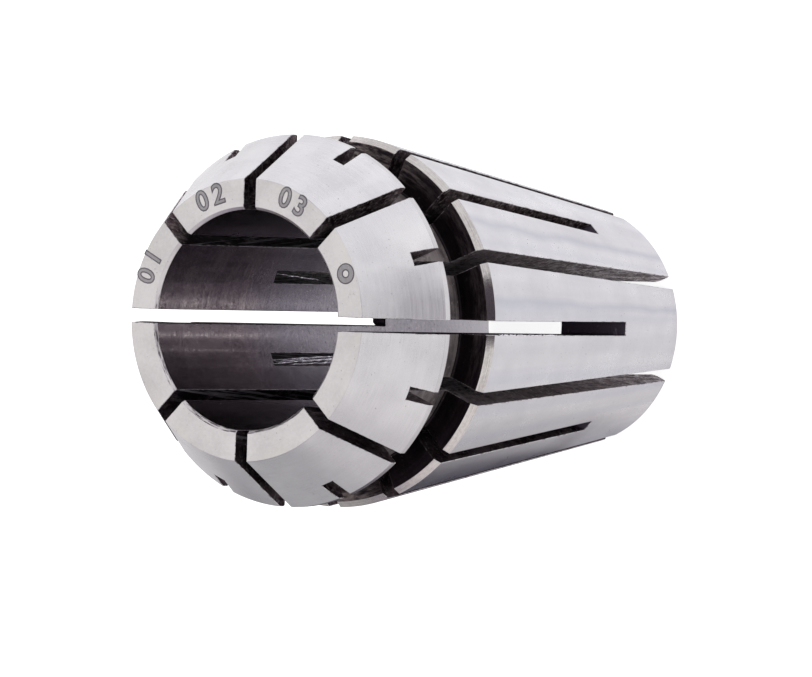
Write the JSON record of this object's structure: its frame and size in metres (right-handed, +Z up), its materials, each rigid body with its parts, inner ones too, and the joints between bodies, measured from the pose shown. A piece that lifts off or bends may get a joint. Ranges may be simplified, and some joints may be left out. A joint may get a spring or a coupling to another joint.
{
  "type": "er collet",
  "caption": "Slit spring collet: a steep nut cone with a groove behind it, a long slender taper and a straight bore that closes on a round tool shank.",
  "frame": {"origin": "middle of the small end, which is the bottom of the bounding box and the face the collet stands on", "axes": "+Z up along the collet's axis, from the small end to the flat ring that faces the nut; +X and +Y each lie in the plane of two opposite slots that start at the ring"},
  "size_m": [0.017, 0.017, 0.0275],
  "materials": {
    "collet": "hardened spring steel, bright fine-ground on the ring, both cones and the rim; dark from heat treatment in the groove, in the slots and in the bore"
  },
  "bodies": {
    "root": {"collet": "collet"}
  },
  "joints": []
}
